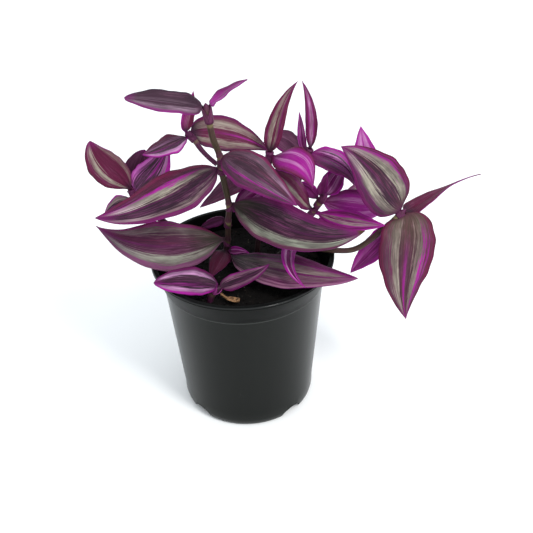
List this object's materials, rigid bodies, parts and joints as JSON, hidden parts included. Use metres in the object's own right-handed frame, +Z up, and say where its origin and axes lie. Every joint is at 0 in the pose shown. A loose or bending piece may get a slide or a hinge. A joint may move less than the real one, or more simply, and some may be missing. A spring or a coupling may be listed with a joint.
{
  "type": "potted tradescantia",
  "caption": "Trailing tradescantia with purple and silver striped leaves, rooted in a round black plastic nursery pot.",
  "frame": {"origin": "centre of the pot's underside, on the surface that it stands on", "axes": "+Z up along the pot's axis, -Y towards the side with the front stem, +X towards the shoot that runs out over the rim"},
  "size_m": [0.215, 0.1143, 0.2034],
  "materials": {
    "pot_plastic": "thin black moulded plastic with a soft sheen",
    "soil": "dark, crumbly potting soil",
    "stem": "smooth, slightly fleshy stem, green-brown flushed purple",
    "leaf": "smooth leaf, dark purple with silver bands above and magenta below",
    "dry_leaf": "dry, tan, papery shed leaf"
  },
  "bodies": {
    "root": {"back_right_leaf_1": "leaf", "back_right_leaf_2": "leaf", "back_right_leaf_3": "leaf", "back_right_leaf_4": "leaf", "back_right_leaf_5": "leaf", "back_right_stem": "stem", "dry_leaf": "dry_leaf", "far_left_leaf_1": "leaf", "far_left_leaf_2": "leaf", "far_left_leaf_3": "leaf", "far_left_leaf_4": "leaf", "far_left_leaf_5": "leaf", "far_left_stem": "stem", "far_right_leaf_1": "leaf", "far_right_leaf_2": "leaf", "far_right_stem": "stem", "front_leaf_1": "leaf", "front_leaf_10": "leaf", "front_leaf_2": "leaf", "front_leaf_3": "leaf", "front_leaf_4": "leaf", "front_leaf_5": "leaf", "front_leaf_6": "leaf", "front_leaf_7": "leaf", "front_leaf_8": "leaf", "front_leaf_9": "leaf", "front_stem": "stem", "inner_right_leaf_1": "leaf", "inner_right_leaf_2": "leaf", "inner_right_leaf_3": "leaf", "inner_right_leaf_4": "leaf", "inner_right_leaf_5": "leaf", "inner_right_leaf_6": "leaf", "inner_right_leaf_7": "leaf", "inner_right_stem": "stem", "left_shoot_leaf_1": "leaf", "left_shoot_leaf_2": "leaf", "left_shoot_leaf_3": "leaf", "left_shoot_stem": "stem", "low_front_leaf_1": "leaf", "low_front_leaf_2": "leaf", "low_front_stem": "stem", "middle_leaf_1": "leaf", "middle_leaf_2": "leaf", "middle_leaf_3": "leaf", "middle_leaf_4": "leaf", "middle_leaf_5": "leaf", "middle_stem": "stem", "pot": "pot_plastic", "right_leaf_1": "leaf", "right_leaf_2": "leaf", "right_leaf_3": "leaf", "right_leaf_4": "leaf", "right_stem": "stem", "soil": "soil"}
  },
  "joints": []
}
